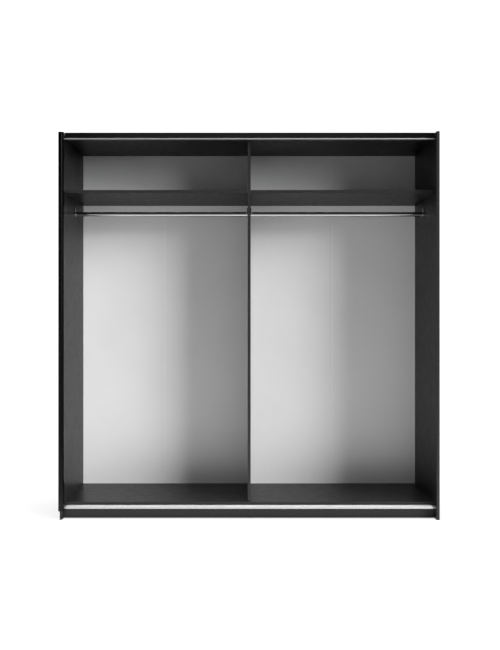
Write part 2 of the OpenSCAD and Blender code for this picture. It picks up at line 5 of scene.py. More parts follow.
import bmesh
import bpy
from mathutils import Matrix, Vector


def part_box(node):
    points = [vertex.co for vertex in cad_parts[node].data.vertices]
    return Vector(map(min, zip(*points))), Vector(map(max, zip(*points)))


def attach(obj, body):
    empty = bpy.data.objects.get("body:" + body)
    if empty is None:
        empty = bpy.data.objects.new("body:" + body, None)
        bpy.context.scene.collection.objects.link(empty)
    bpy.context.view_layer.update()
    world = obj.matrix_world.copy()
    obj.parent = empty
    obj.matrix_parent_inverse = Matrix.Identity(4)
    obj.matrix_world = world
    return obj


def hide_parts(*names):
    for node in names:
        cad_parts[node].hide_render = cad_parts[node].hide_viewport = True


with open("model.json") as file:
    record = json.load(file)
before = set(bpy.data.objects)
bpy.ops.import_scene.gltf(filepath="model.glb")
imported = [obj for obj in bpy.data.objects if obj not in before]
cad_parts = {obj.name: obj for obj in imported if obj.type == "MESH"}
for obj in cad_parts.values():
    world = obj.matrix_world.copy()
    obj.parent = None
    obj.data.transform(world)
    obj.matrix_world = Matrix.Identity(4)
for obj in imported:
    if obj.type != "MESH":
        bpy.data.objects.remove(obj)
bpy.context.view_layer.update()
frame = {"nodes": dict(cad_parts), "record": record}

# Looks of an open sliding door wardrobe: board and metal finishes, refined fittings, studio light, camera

scene = bpy.context.scene
nodes = frame["nodes"]
body_of = {node: body for body, names in frame["record"]["behaviour"]["bodies"].items() for node in names}
slot_of = {part["node"]: part["material_slot"] for part in frame["record"]["subparts"]}


# ---- places in millimetres -----------------------------------------------------------
# x runs to the right, d backwards from the front plane and z upwards

MM = 0.001
X, Y, Z = 0, 1, 2
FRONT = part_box("right_side_panel")[0].y


def limits(node, axis):
    """Lowest and highest x, d or z of a CAD node."""
    zero = FRONT if axis == Y else 0.0
    return [round((corner[axis] - zero) / MM, 2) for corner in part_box(node)]


def middle(node, axis):
    return sum(limits(node, axis)) / 2


INNER_X, OUTER_X = limits("right_side_panel", X)
PARTITION_X = limits("partition", X)[1]
BASE_Z = limits("bottom_panel", Z)[0]
ROOF_Z = limits("top_panel", Z)[1]
BASE_MID, ROOF_MID = middle("bottom_panel", Z), middle("top_panel", Z)
PANEL_BACK = limits("back_panel_1", Y)[1]
SLIP = 0.1


def point(x, d, z):
    """Blender's point for an x, a depth behind the front plane and a height in millimetres."""
    return Vector((x * MM, FRONT + d * MM, z * MM))


# ---- node tree helpers ---------------------------------------------------------------

def start(name, **sockets):
    """New material with a Principled shader whose sockets take the given constants."""
    material = bpy.data.materials.new(name)
    material.use_nodes = True
    tree = material.node_tree
    shader = tree.nodes["Principled BSDF"]
    for key, value in sockets.items():
        shader.inputs[key.replace("_", " ")].default_value = value
    return material, tree, shader


def grey(value):
    return (value, value, value, 1)


def coordinates(tree, stretch=(1, 1, 1)):
    """Object coordinates, scaled per axis."""
    source = tree.nodes.new("ShaderNodeTexCoord")
    mapping = tree.nodes.new("ShaderNodeMapping")
    mapping.inputs["Scale"].default_value = stretch
    tree.links.new(source.outputs["Object"], mapping.inputs["Vector"])
    return mapping.outputs["Vector"]


def noise(tree, scale, detail=3.0, roughness=0.5, stretch=(1, 1, 1)):
    """Noise over the object; scale is in cells per metre."""
    texture = tree.nodes.new("ShaderNodeTexNoise")
    texture.inputs["Scale"].default_value = scale
    texture.inputs["Detail"].default_value = detail
    texture.inputs["Roughness"].default_value = roughness
    tree.links.new(coordinates(tree, stretch), texture.inputs["Vector"])
    return texture.outputs["Fac"]


def cells(tree, scale):
    """Voronoi cells with one random value each."""
    texture = tree.nodes.new("ShaderNodeTexVoronoi")
    texture.inputs["Scale"].default_value = scale
    tree.links.new(coordinates(tree), texture.inputs["Vector"])
    split = tree.nodes.new("ShaderNodeSeparateColor")
    tree.links.new(texture.outputs["Color"], split.inputs["Color"])
    return split.outputs["Red"]


def remap(tree, value, low, high, start_at=0.3, end_at=0.7):
    """Stretches a value from start_at..end_at to low..high; noise lies mostly between 0.3 and 0.7."""
    node = tree.nodes.new("ShaderNodeMapRange")
    node.inputs["From Min"].default_value = start_at
    node.inputs["From Max"].default_value = end_at
    node.inputs["To Min"].default_value = low
    node.inputs["To Max"].default_value = high
    tree.links.new(value, node.inputs["Value"])
    return node.outputs["Result"]


def blend(tree, factor, first, second):
    """Mixes two colours, each a tuple or a socket."""
    node = tree.nodes.new("ShaderNodeMix")
    node.data_type = "RGBA"
    tree.links.new(factor, node.inputs["Factor"])
    for socket, value in ((node.inputs["A"], first), (node.inputs["B"], second)):
        if isinstance(value, tuple):
            socket.default_value = value
        else:
            tree.links.new(value, socket)
    return node.outputs["Result"]


def combine(tree, operation, first, second):
    """Math on two values, each a number or a socket."""
    node = tree.nodes.new("ShaderNodeMath")
    node.operation = operation
    for socket, value in zip(node.inputs, (first, second)):
        if isinstance(value, (int, float)):
            socket.default_value = value
        else:
            tree.links.new(value, socket)
    return node.outputs["Value"]


def size_of(tree, value):
    """Absolute value."""
    return combine(tree, "ABSOLUTE", value, 0.0)


def two_tones(tree, coarse, fine, share):
    """Sum of a coarse and a fine noise from 0 to 1; share is the coarse one's part."""
    return combine(tree, "ADD", remap(tree, coarse, 0.0, share), remap(tree, fine, 0.0, 1.0 - share))


def bump(tree, shader, height, depth, strength):
    """Bump of the given depth in metres."""
    node = tree.nodes.new("ShaderNodeBump")
    node.inputs["Strength"].default_value = strength
    node.inputs["Distance"].default_value = depth
    tree.links.new(height, node.inputs["Height"])
    tree.links.new(node.outputs["Normal"], shader.inputs["Normal"])


FACING_LIMIT = 0.72


def facing(tree, axis, sign):
    """1 where the surface faces along an axis: sign 0 is either way, +1 or -1 that way only."""
    source = tree.nodes.new("ShaderNodeTexCoord")
    split = tree.nodes.new("ShaderNodeSeparateXYZ")
    tree.links.new(source.outputs["Normal"], split.inputs["Vector"])
    part = split.outputs[axis]
    if sign == 0:
        part = size_of(tree, part)
    elif sign < 0:
        part = combine(tree, "MULTIPLY", part, -1.0)
    return combine(tree, "GREATER_THAN", part, FACING_LIMIT)


# ---- materials -----------------------------------------------------------------------

CHARCOAL_DARK, CHARCOAL_LIGHT = grey(0.0085), grey(0.0108)
# lighter charcoal for the faces turned to the front: painted light for the stronger light they catch
FRONT_PAINTED_LIGHT = grey(0.0195)
CHIP_DARK, CHIP_LIGHT, CHIP_DUST = (0.33, 0.21, 0.11, 1), (0.56, 0.41, 0.25, 1), (0.18, 0.11, 0.06, 1)
COATING_DARK, COATING_LIGHT = grey(0.590), grey(0.640)
FIBRE_DARK, FIBRE_LIGHT = (0.145, 0.078, 0.036, 1), (0.27, 0.165, 0.085, 1)
BEECH_DARK, BEECH_LIGHT = (0.42, 0.26, 0.13, 1), (0.66, 0.48, 0.30, 1)
ZINC_DARK, ZINC_LIGHT = (0.46, 0.47, 0.49, 1), (0.62, 0.62, 0.60, 1)
# how much rougher raw chipboard, how much smoother coated hardboard and satin metal are than the rest
RAW_ROUGHER, COATED_SMOOTHER, SATIN_SMOOTHER = 0.4, 0.34, 0.17
EVEN, ALONG_X = (1, 1, 1), (0.02, 1, 1)


def chipboard_colour(tree):
    """Raw chipboard: packed wood chips in several browns."""
    chips = cells(tree, 420)
    dust = noise(tree, 1500, 2)
    colour = blend(tree, chips, CHIP_DARK, CHIP_LIGHT)
    return blend(tree, remap(tree, dust, 0.0, 0.45), colour, CHIP_DUST)


def board_material(name, raw_faces, specular):
    """Charcoal melamine board, painted lighter on the faces turned to the front as painted light. raw_faces
    lists (axis, sign) of the edges left as bare chipboard.
    """
    material, tree, shader = start(name, Specular_IOR_Level=specular)
    tone = two_tones(tree, noise(tree, 5, 3), noise(tree, 1400, 2, 0.6), 0.45)
    colour = blend(tree, tone, CHARCOAL_DARK, CHARCOAL_LIGHT)
    # faces turned to the front take the lighter charcoal: painted light
    colour = blend(tree, facing(tree, Y, -1), colour, FRONT_PAINTED_LIGHT)
    raw = facing(tree, *raw_faces[0])
    for face in raw_faces[1:]:
        raw = combine(tree, "MAXIMUM", raw, facing(tree, *face))
    colour = blend(tree, raw, colour, chipboard_colour(tree))
    rough = remap(tree, noise(tree, 30, 4), 0.30, 0.36)
    rough = combine(tree, "ADD", rough, combine(tree, "MULTIPLY", raw, RAW_ROUGHER))
    tree.links.new(colour, shader.inputs["Base Color"])
    tree.links.new(rough, shader.inputs["Roughness"])
    bump(tree, shader, noise(tree, 900, 3, 0.55), 0.00006, 0.35)
    return material


def hardboard_material():
    """Thin back panel: pale grey coating towards the inside, bare brown fibre elsewhere."""
    material, tree, shader = start("grey_hardboard", Specular_IOR_Level=0.35)
    tone = two_tones(tree, noise(tree, 3, 3), noise(tree, 1200, 2), 0.5)
    coating = blend(tree, tone, COATING_DARK, COATING_LIGHT)
    fibres = noise(tree, 260, 6, 0.65)
    bare = blend(tree, remap(tree, fibres, 0.0, 1.0), FIBRE_DARK, FIBRE_LIGHT)
    front = facing(tree, Y, -1)
    tree.links.new(blend(tree, front, bare, coating), shader.inputs["Base Color"])
    rough = combine(tree, "SUBTRACT", 0.82, combine(tree, "MULTIPLY", front, COATED_SMOOTHER))
    tree.links.new(rough, shader.inputs["Roughness"])
    bump(tree, shader, noise(tree, 700, 4, 0.6), 0.00008, 0.4)
    return material


def moulded_plastic(name, dark, light, rough):
    """Moulded plastic with a fine eroded grain."""
    material, tree, shader = start(name, Specular_IOR_Level=0.5)
    tone = remap(tree, noise(tree, 60, 4), 0.0, 1.0)
    tree.links.new(blend(tree, tone, grey(dark), grey(light)), shader.inputs["Base Color"])
    tree.links.new(remap(tree, noise(tree, 25, 3), rough - 0.04, rough + 0.05), shader.inputs["Roughness"])
    bump(tree, shader, noise(tree, 1600, 3, 0.6), 0.00008, 0.5)
    return material


def gloss_black_material(name, dark, light, specular, rough):
    """Black lacquer on aluminium: almost no colour, a faint orange peel and hairline marks."""
    material, tree, shader = start(name, Specular_IOR_Level=specular)
    tone = remap(tree, noise(tree, 12, 3), 0.0, 1.0)
    tree.links.new(blend(tree, tone, grey(dark), grey(light)), shader.inputs["Base Color"])
    marks = noise(tree, 40, 5, 0.7, (1, 1, 8))
    tree.links.new(remap(tree, marks, rough, rough + 0.06), shader.inputs["Roughness"])
    bump(tree, shader, noise(tree, 320, 2, 0.4), 0.00004, 0.25)
    return material


def metal_material(name, dark, light, low, high, stretch, front=1.0):
    """Drawn or plated metal, streaked along the axis whose stretch is smallest.

    low and high are its roughness. front below 1 paints the faces in front darker, as painted shade, and
    makes them smoother.
    """
    material, tree, shader = start(name, Metallic=1.0)
    streaks = noise(tree, 900, 4, 0.6, stretch)
    colour = blend(tree, two_tones(tree, noise(tree, 22, 3), streaks, 0.4), dark, light)
    rough = remap(tree, streaks, low, high)
    if front < 1.0:
        # the faces in front get a darker copy of the colour: painted shade
        front_shade_colour = tuple(front * value for value in light[:3]) + (1,)
        turned = facing(tree, Y, -1)
        colour = blend(tree, turned, colour, front_shade_colour)
        rough = combine(tree, "SUBTRACT", rough, combine(tree, "MULTIPLY", turned, SATIN_SMOOTHER))
    tree.links.new(colour, shader.inputs["Base Color"])
    tree.links.new(rough, shader.inputs["Roughness"])
    bump(tree, shader, streaks, 0.00002, 0.4)
    return material


def pile_material():
    """Black brush pile: soft, matt, slightly uneven."""
    material, tree, shader = start("brush_pile", Specular_IOR_Level=0.1, Sheen_Weight=0.02, Roughness=0.85)
    tone = remap(tree, noise(tree, 1500, 2), 0.0, 1.0)
    tree.links.new(blend(tree, tone, grey(0.0008), grey(0.0030)), shader.inputs["Base Color"])
    return material


def beech_material():
    """Raw turned beech with grain along X and short darker rays."""
    material, tree, shader = start("beech", Specular_IOR_Level=0.3)
    grain = noise(tree, 700, 5, 0.6, (0.05, 1, 1))
    colour = blend(tree, remap(tree, grain, 0.0, 1.0), BEECH_DARK, BEECH_LIGHT)
    tree.links.new(colour, shader.inputs["Base Color"])
    tree.links.new(remap(tree, grain, 0.55, 0.7), shader.inputs["Roughness"])
    bump(tree, shader, grain, 0.00005, 0.5)
    return material


# finishes by material slot
materials = {
    "grey_hardboard": hardboard_material(),
    "grey_plastic": moulded_plastic("grey_plastic", 0.60, 0.64, 0.45),
    "black_plastic": moulded_plastic("black_plastic", 0.010, 0.018, 0.50),
    "track_cap_plastic": moulded_plastic("track_cap_plastic", 0.085, 0.105, 0.42),
    "gloss_black": gloss_black_material("gloss_black", 0.0010, 0.0018, 0.38, 0.10),
    "brush_pile": pile_material(),
    "aluminium": metal_material("aluminium", grey(0.93), grey(0.98), 0.72, 0.78, ALONG_X, front=0.33),
    "chrome_tube": metal_material("chrome_tube", grey(0.31), grey(0.35), 0.03, 0.06, (0.03, 1, 1)),
    "zinc_steel": metal_material("zinc_steel", ZINC_DARK, ZINC_LIGHT, 0.28, 0.42, EVEN),
    "beech": beech_material(),
}
# finishes of single nodes that differ from the rest of their slot
own_finish = {
    "closing_profile": gloss_black_material("profile_black", 0.0003, 0.0006, 0.13, 0.05),
    "top_track": metal_material("satin_aluminium", grey(0.32), grey(0.36), 0.54, 0.60, ALONG_X),
}
upright_board = board_material("charcoal_upright", [(Y, 1), (Z, -1)], 0.045)
flat_board = board_material("charcoal_flat", [(Y, 1), (X, 0)], 0.06)
shelf_board = board_material("charcoal_shelf", [(Y, 1)], 0.04)
plinth_board = board_material("charcoal_plinth", [(X, 0), (Z, -1)], 0.06)
board_kinds = {
    "left_side_panel": upright_board,
    "right_side_panel": upright_board,
    "partition": upright_board,
    "top_panel": flat_board,
    "bottom_panel": flat_board,
    "left_shelf": shelf_board,
    "right_shelf": shelf_board,
    "front_plinth": plinth_board,
    "rear_plinth": plinth_board,
}


def finish_of(node):
    return board_kinds.get(node) or own_finish.get(node) or materials[slot_of[node]]


def add_bevel(piece, width, angle):
    """Rounds the edges that are sharper than the given angle in degrees; width is in millimetres."""
    bevel = piece.modifiers.new("bevel", "BEVEL")
    bevel.width = width * MM
    bevel.segments = 2
    bevel.limit_method = "ANGLE"
    bevel.angle_limit = math.radians(angle)


def soften(piece):
    """Eases the edges of a carried-over CAD board."""
    weld = piece.modifiers.new("weld", "WELD")
    weld.merge_threshold = 0.01 * MM
    add_bevel(piece, 0.5, 50)


for node_name, cad_piece in nodes.items():
    cad_piece.data.materials.clear()
    cad_piece.data.materials.append(finish_of(node_name))
for node_name in board_kinds:
    soften(nodes[node_name])


# ---- mesh helpers --------------------------------------------------------------------

QUARTERS = ((-1, -1), (1, -1), (1, 1), (-1, 1))


def new_grid():
    return bmesh.new()


def framed(origin, direction):
    """Maps (a, b, h) in millimetres to a frame that stands on origin and rises along direction."""
    up = Vector(direction).normalized()
    side = up.orthogonal().normalized()
    other = up.cross(side)
    return lambda a, b, h: origin + (side * a + other * b + up * h) * MM


def rectangle(u0, u1, v0, v1):
    return [(u0, v0), (u1, v0), (u1, v1), (u0, v1)]


def rounded(outline, radius, steps=3):
    """Closed outline with its corners turned by arcs; radius is one number, or one per corner."""
    radii = radius if isinstance(radius, (list, tuple)) else [radius] * len(outline)
    result = []
    for i, (corner, wanted) in enumerate(zip(outline, radii)):
        here = Vector(corner)
        before = Vector(outline[i - 1]) - here
        after = Vector(outline[(i + 1) % len(outline)]) - here
        if wanted <= 0:
            result.append((here.x, here.y))
            continue
        half = before.angle(after) / 2
        reach = min(wanted / math.tan(half), 0.45 * before.length, 0.45 * after.length)
        turn = reach * math.tan(half)
        centre = here + (before.normalized() + after.normalized()).normalized() * turn / math.sin(half)
        first = here + before.normalized() * reach - centre
        last = here + after.normalized() * reach - centre
        for step in range(steps + 1):
            arm = first.lerp(last, step / steps).normalized() * turn
            result.append((centre.x + arm.x, centre.y + arm.y))
    return result


def arc(centre, radius, start_deg, stop_deg, steps):
    """Points on an arc, angles in degrees."""
    angles = [math.radians(start_deg + (stop_deg - start_deg) * i / steps) for i in range(steps + 1)]
    return [(centre[0] + radius * math.cos(a), centre[1] + radius * math.sin(a)) for a in angles]


def prism(grid, outline, place, start_at, stop_at):
    """Closed bar with a 2-D outline; place(u, v, t) gives the point for a position t along it."""
    ends = [[grid.verts.new(place(u, v, t)) for u, v in outline] for t in (start_at, stop_at)]
    for i in range(len(outline)):
        grid.faces.new((ends[0][i - 1], ends[0][i], ends[1][i], ends[1][i - 1]))
    grid.faces.new(ends[0])
    grid.faces.new(ends[1])


def bar_x(grid, outline, x0, x1):
    """Bar along X from an outline in depth and height."""
    prism(grid, outline, lambda d, z, x: point(x, d, z), x0, x1)


def bar_z(grid, outline, z0, z1):
    """Upright bar from an outline in X and depth."""
    prism(grid, outline, point, z0, z1)


def lathe(grid, profile, place, segments=24, radius_at=None, ring=False):
    """Turned body from (radius, height) pairs. ring closes the profile on itself, as for a tube."""
    rows = []
    for radius, height in profile:
        if radius == 0:
            rows.append([grid.verts.new(place(0, 0, height))] * segments)
            continue
        row = []
        for i in range(segments):
            angle = 2 * math.pi * i / segments
            r = radius_at(radius, angle) if radius_at else radius
            row.append(grid.verts.new(place(r * math.cos(angle), r * math.sin(angle), height)))
        rows.append(row)
    pairs = list(zip(rows, rows[1:] + rows[:1])) if ring else list(zip(rows, rows[1:]))
    for low, high in pairs:
        for i in range(segments):
            corners = []
            for vert in (low[i - 1], low[i], high[i], high[i - 1]):
                if vert not in corners:
                    corners.append(vert)
            grid.faces.new(corners)
    return rows


def recessed(grid, profile, place, reach, width, deep):
    """Turned body whose flat end, at the profile's last pair, holds a cross recess."""
    top = lathe(grid, profile, place)[-1]
    height = profile[-1][1]
    cross = []
    for quarter in range(4):
        for a, b in [(reach, -width), (reach, width), (width, width)]:
            for _ in range(quarter):
                a, b = -b, a
            cross.append((a, b))
    rim = [grid.verts.new(place(a, b, height)) for a, b in cross]
    bottom = [grid.verts.new(place(a * 0.8, b * 0.8, height - deep)) for a, b in cross]
    for i in range(len(cross)):
        j = (i + 1) % len(cross)
        k = 2 * i - 1
        grid.faces.new((rim[i], top[k], top[k + 1], top[(k + 2) % len(top)], rim[j]))
        grid.faces.new((rim[i], rim[j], bottom[j], bottom[i]))
    grid.faces.new(bottom)


# (head diameter, head height, shank diameter) of the screws
PAN_HEAD, LOW_PAN_HEAD, TRACK_PAN_HEAD, SMALL_PAN_HEAD = (7, 2, 3.5), (7, 1.8, 3.5), (7, 2, 3.6), (6, 1.6, 3)
CONFIRMAT = (10, 3, 5)
THREAD_PITCH = 1.6


def screw(grid, origin, direction, sizes, length, flush=False):
    """Wood screw: origin is where its head meets the work, direction points out of the head."""
    head, height, shank = sizes
    big, r = head / 2, shank / 2
    profile = [(0, -length), (0.3 * r, -length + 0.8), (0.8 * r, -length + 2.2)]
    for turn in range(int((length - 4.0) / THREAD_PITCH)):
        z = -length + 2.6 + turn * THREAD_PITCH
        profile += [(0.98 * r, z), (0.98 * r, z + 0.25), (0.68 * r, z + 0.6), (0.68 * r, z + 1.1)]
    profile.append((0.9 * r, -0.2))
    if flush:
        profile += [(r, 0.1), (0.96 * big, 0.75 * height), (big, 0.85 * height), (0.97 * big, height)]
    else:
        profile += [(0.9 * r, 0), (0.98 * big, 0), (big, 0.25 * height), (0.93 * big, 0.65 * height),
                    (0.72 * big, 0.97 * height), (0.60 * big, height)]
    recessed(grid, profile, framed(origin, direction), 0.46 * big, 0.10 * head, 0.6 * height)


def block(grid, low, high, radius, segments=2):
    """Box between two (x, d, z) corners with all edges rounded."""
    a, b = point(*low), point(*high)
    made = bmesh.ops.create_cube(grid, size=1.0)
    for vert in made["verts"]:
        vert.co = Vector([(a[i] + b[i]) / 2 + vert.co[i] * (b[i] - a[i]) for i in range(3)])
    edges = list({edge for vert in made["verts"] for edge in vert.link_edges})
    bmesh.ops.bevel(grid, geom=edges, offset=radius * MM, segments=segments, profile=0.5, affect="EDGES")


def finish_piece(grid, name, node, smooth=32, bevel=0.0):
    """Turns the mesh into a piece that stands for a CAD node, rides on its body and takes its finish."""
    bmesh.ops.recalc_face_normals(grid, faces=grid.faces)
    mesh = bpy.data.meshes.new(name)
    grid.to_mesh(mesh)
    grid.free()
    mesh.shade_smooth()
    mesh.set_sharp_from_angle(angle=math.radians(smooth))
    piece = bpy.data.objects.new(name, mesh)
    scene.collection.objects.link(piece)
    mesh.materials.append(finish_of(node))
    if bevel:
        add_bevel(piece, bevel, 60)
    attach(piece, body_of[node])
    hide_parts(node)


# ---- tracks and cover strip ----------------------------------------------------------

TOP_LEDGE = limits("top_fascia", Z)[0]    # the top track's floor, on which the cover strip's foot stands


def make_top_track():
    """Angle with an upturned front lip; its tall leg is screwed to the top panel's edge."""
    (front, back), (low, high) = limits("top_track", Y), limits("top_track", Z)
    wall, lip = 2, 3
    outline = [
        (front, low), (back, low), (back, high), (back - wall, high), (back - wall, TOP_LEDGE),
        (front + wall, TOP_LEDGE), (front + wall, TOP_LEDGE + lip), (front, TOP_LEDGE + lip),
    ]
    grid = new_grid()
    bar_x(grid, rounded(outline, [1.2, 0.5, 0.4, 0.4, 0.8, 0.4, 0.3, 0.3], 4), *limits("top_track", X))
    finish_piece(grid, "top_track_profile", "top_track", bevel=0.2)


def make_cover_strip():
    """Strip that clips behind the top track's lip and is rounded at its upper front edge."""
    (front, clip_back), (low, high) = limits("top_fascia", Y), limits("top_fascia", Z)
    thick, lip, clip, nose = 2, 3, 9, 1.8
    outline = [
        (front, low + lip), (front + thick, low + lip), (front + thick, low), (clip_back, low),
        (clip_back, low + clip), (front + thick, low + clip), (front + thick, high - 0.2),
    ]
    grid = new_grid()
    shape = rounded(outline, [0.25, 0.2, 0.2, 0.4, 0.4, 0.4, 0], 4)
    shape += arc((front + nose, high - nose), nose, 90, 180, 6)
    bar_x(grid, shape, *limits("top_fascia", X))
    finish_piece(grid, "top_cover_strip", "top_fascia", bevel=0.3)


def make_bottom_track():
    """Low profile with two door grooves, hollow under its middle rib."""
    (front, back), (low, high) = limits("bottom_track", Y), limits("bottom_track", Z)
    floor, hollow = low + 2.5, low + 7.5
    outline = [
        (front, low), (front + 16, low), (front + 16, hollow), (front + 24, hollow), (front + 24, low),
        (back, low), (back, high), (back - 9, high), (back - 9, floor), (front + 27, floor),
        (front + 27, high), (front + 13, high), (front + 13, floor), (front + 5, floor),
        (front + 5, high), (front, high),
    ]
    radii = [0.8, 0.3, 0.5, 0.5, 0.3, 0.3, 0.3, 0.5, 0.6, 0.6, 0.5, 0.5, 0.6, 0.6, 0.5, 0.9]
    grid = new_grid()
    bar_x(grid, rounded(outline, radii), *limits("bottom_track", X))
    finish_piece(grid, "bottom_track_profile", "bottom_track", bevel=0.2)


def make_track_caps():
    """Caps at the bottom track's ends; the left one leaves room for the closing profile."""
    (front, back), (low, high) = limits("bottom_track_caps", Y), limits("bottom_track_caps", Z)
    track_end, cap_end = limits("bottom_track", X)[1], limits("bottom_track_caps", X)[1]
    cut_x = limits("closing_profile", X)[1] + SLIP
    cut_d = limits("closing_profile", Y)[1] + 2 * SLIP
    full = rounded(rectangle(front, back, low, high), [1.4, 0.3, 0.6, 3.0], 4)
    behind = rounded(rectangle(cut_d, back, low, high), [0.3, 0.3, 0.6, 0.6])
    grid = new_grid()
    bar_x(grid, full, track_end, cap_end)
    bar_x(grid, full, cut_x, -track_end)
    bar_x(grid, behind, -cap_end, cut_x)
    finish_piece(grid, "bottom_track_end_caps", "bottom_track_caps", bevel=0.5)


def make_stops():
    """Blocks that stop the doors in the top track."""
    outer, length = limits("top_track_stops", X)[1], 30
    (front, back), (low, high) = limits("top_track_stops", Y), limits("top_track_stops", Z)
    grid = new_grid()
    for side in (-1, 1):
        left, right = sorted((side * (outer - length), side * outer))
        block(grid, (left, front + SLIP, low), (right, back, high), 0.8)
    finish_piece(grid, "door_end_stops", "top_track_stops")


# ---- closing profile with its brush --------------------------------------------------

PROFILE_LEG = 1.5
PROFILE_SCREW_Z = (120, 560, 1000, 1440, 1880)
PILE_X, PILE_Z = limits("closing_brush", X), limits("closing_brush", Z)
ROWS_APART, TUFTS_IN_ROW = 1.2, 1180


def make_closing_profile():
    """Front profile of the left side panel: band, bead, brush channel and a leg along the inner face."""
    over, band, bead_u, bead_r = 2, 1.2, 13.5, 2.4
    channel, channel_d, shoulder_d = (20, 24), 11.2, 4.6
    width, seat = 25, limits("left_side_panel", Y)[0]
    leg, leg_d = (OUTER_X - INNER_X, OUTER_X - INNER_X + PROFILE_LEG), limits("closing_profile", Y)[1]
    outline = [(-over + 0.5, band), (bead_u - bead_r, band)]
    outline += arc((bead_u, bead_r), bead_r, -150, 0, 12)
    outline += [
        (channel[0], bead_r + 0.2), (channel[0], channel_d), (channel[1], channel_d),
        (channel[1], shoulder_d), (channel[1] + 0.3, shoulder_d - 0.3), (width - 0.2, shoulder_d - 0.3),
        (width, shoulder_d), (width, seat - 0.4), (width - 0.4, seat), (leg[1], seat),
        (leg[1], leg_d - 0.4), (leg[1] - 0.4, leg_d), (leg[0] + 0.4, leg_d), (leg[0], leg_d - 0.4),
        (leg[0], seat), (-over + 0.3, seat), (-over, seat - 0.3), (-over, band + 0.5),
        (-over + 0.15, band + 0.15),
    ]
    grid = new_grid()
    bar_z(grid, [(u - OUTER_X, d) for u, d in outline], *limits("closing_profile", Z))
    finish_piece(grid, "closing_profile_body", "closing_profile", smooth=40, bevel=0.15)


def add_tuft(verts, faces, draw, x, z):
    """Leaning four-sided tuft, kept within the brush; verts and faces grow by one tuft."""
    lean_x, lean_z = draw.uniform(-0.35, 0.35), draw.uniform(-0.5, 0.5)
    tip = 1.0 + draw.uniform(0.0, 0.9)
    base = len(verts)
    for d, half, lean in ((8.5, 0.48, 0), (4.5, 0.42, 0.4), (tip, 0.16, 1)):
        for a, b in QUARTERS:
            wide = x + lean_x * lean + a * half
            high = z + lean_z * lean + b * half * 1.3
            wide = min(max(wide, PILE_X[0]), PILE_X[1])
            high = min(max(high, PILE_Z[0]), PILE_Z[1])
            verts.append(point(wide, d, high))
    root, tip_ring = range(base, base + 4), range(base + 11, base + 7, -1)
    faces += [list(root), list(tip_ring)]
    for ring in (base, base + 4):
        for i in range(4):
            j = (i + 1) % 4
            faces.append([ring + j, ring + i, ring + 4 + i, ring + 4 + j])


def make_closing_brush():
    """Three rows of tufts on a backing strip."""
    draw = random.Random(7)
    verts, faces = [], []
    pitch = (PILE_Z[1] - PILE_Z[0] - 2) / TUFTS_IN_ROW
    for row in range(3):
        x = sum(PILE_X) / 2 + (row - 1) * ROWS_APART
        for i in range(TUFTS_IN_ROW):
            z = PILE_Z[0] + 1 + (i + 0.33 * row) * pitch
            add_tuft(verts, faces, draw, x + draw.uniform(-0.15, 0.15), z + draw.uniform(-0.25, 0.25))
    mesh = bpy.data.meshes.new("tufts")
    mesh.from_pydata(verts, [], faces)
    grid = new_grid()
    grid.from_mesh(mesh)
    bpy.data.meshes.remove(mesh)
    backing = rectangle(*PILE_X, 7.5, limits("closing_brush", Y)[1])
    bar_z(grid, rounded(backing, 0.5), *PILE_Z)
    finish_piece(grid, "closing_brush_tufts", "closing_brush", smooth=60)


def make_profile_screws():
    """Screws through the profile's leg into the left side panel."""
    x, d = PROFILE_LEG - INNER_X, limits("left_side_panel", Y)[0] + 6
    grid = new_grid()
    for z in PROFILE_SCREW_Z:
        screw(grid, point(x, d, z), (1, 0, 0), PAN_HEAD, 13)
    finish_piece(grid, "closing_profile_fixings", "closing_profile_screws")


# ---- hanging rails -------------------------------------------------------------------

RAIL_D, RAIL_Z = round(middle("left_rail", Y), 1), round(middle("left_rail", Z), 1)
CUP_SCREW_Z = RAIL_Z + 26


def make_rail(side):
    """Tube with eased ends; its cups have a plate on the wall and an open seat under the tube."""
    name = "right" if side > 0 else "left"
    start_x, stop_x = limits(f"{name}_rail", X)
    length = stop_x - start_x
    bore_r, tube_r = 11.3, 12.5
    grid = new_grid()
    lathe(grid, [
        (bore_r, 0.3), (bore_r + 0.3, 0), (tube_r - 0.3, 0), (tube_r, 0.35), (tube_r, length / 2),
        (tube_r, length - 0.35), (tube_r - 0.3, length), (bore_r + 0.3, length), (bore_r, length - 0.3),
    ], framed(point(start_x, RAIL_D, RAIL_Z), (1, 0, 0)), segments=72, ring=True)
    finish_piece(grid, f"{name}_rail_tube", f"{name}_rail", smooth=28)

    inner_r, outer_r, rise, ease = 12.8, 15.8, 7, 0.6
    plate = arc((RAIL_D, RAIL_Z), outer_r, 145.4, 394.6, 20) + arc((RAIL_D, RAIL_Z + 23), 13, 0, 180, 16)
    cup = [(RAIL_D - outer_r, RAIL_Z + rise - ease)] + arc((RAIL_D, RAIL_Z), outer_r, 180, 360, 24)
    cup += [(RAIL_D + outer_r, RAIL_Z + rise - ease), (RAIL_D + outer_r - ease, RAIL_Z + rise),
            (RAIL_D + inner_r + ease, RAIL_Z + rise), (RAIL_D + inner_r, RAIL_Z + rise - ease)]
    cup += arc((RAIL_D, RAIL_Z), inner_r, 360, 180, 24)
    cup += [(RAIL_D - inner_r, RAIL_Z + rise - ease), (RAIL_D - inner_r - ease, RAIL_Z + rise),
            (RAIL_D - outer_r + ease, RAIL_Z + rise)]
    plate_t, cup_t = 4, 8
    grid = new_grid()
    for wall, into in ((side * PARTITION_X, side), (side * INNER_X, -side)):
        seat = wall + into * plate_t
        bar_x(grid, plate, *sorted((wall, seat)))
        bar_x(grid, cup, *sorted((seat, seat + into * cup_t)))
    finish_piece(grid, f"{name}_rail_cups", f"{name}_rail_brackets", bevel=0.6)


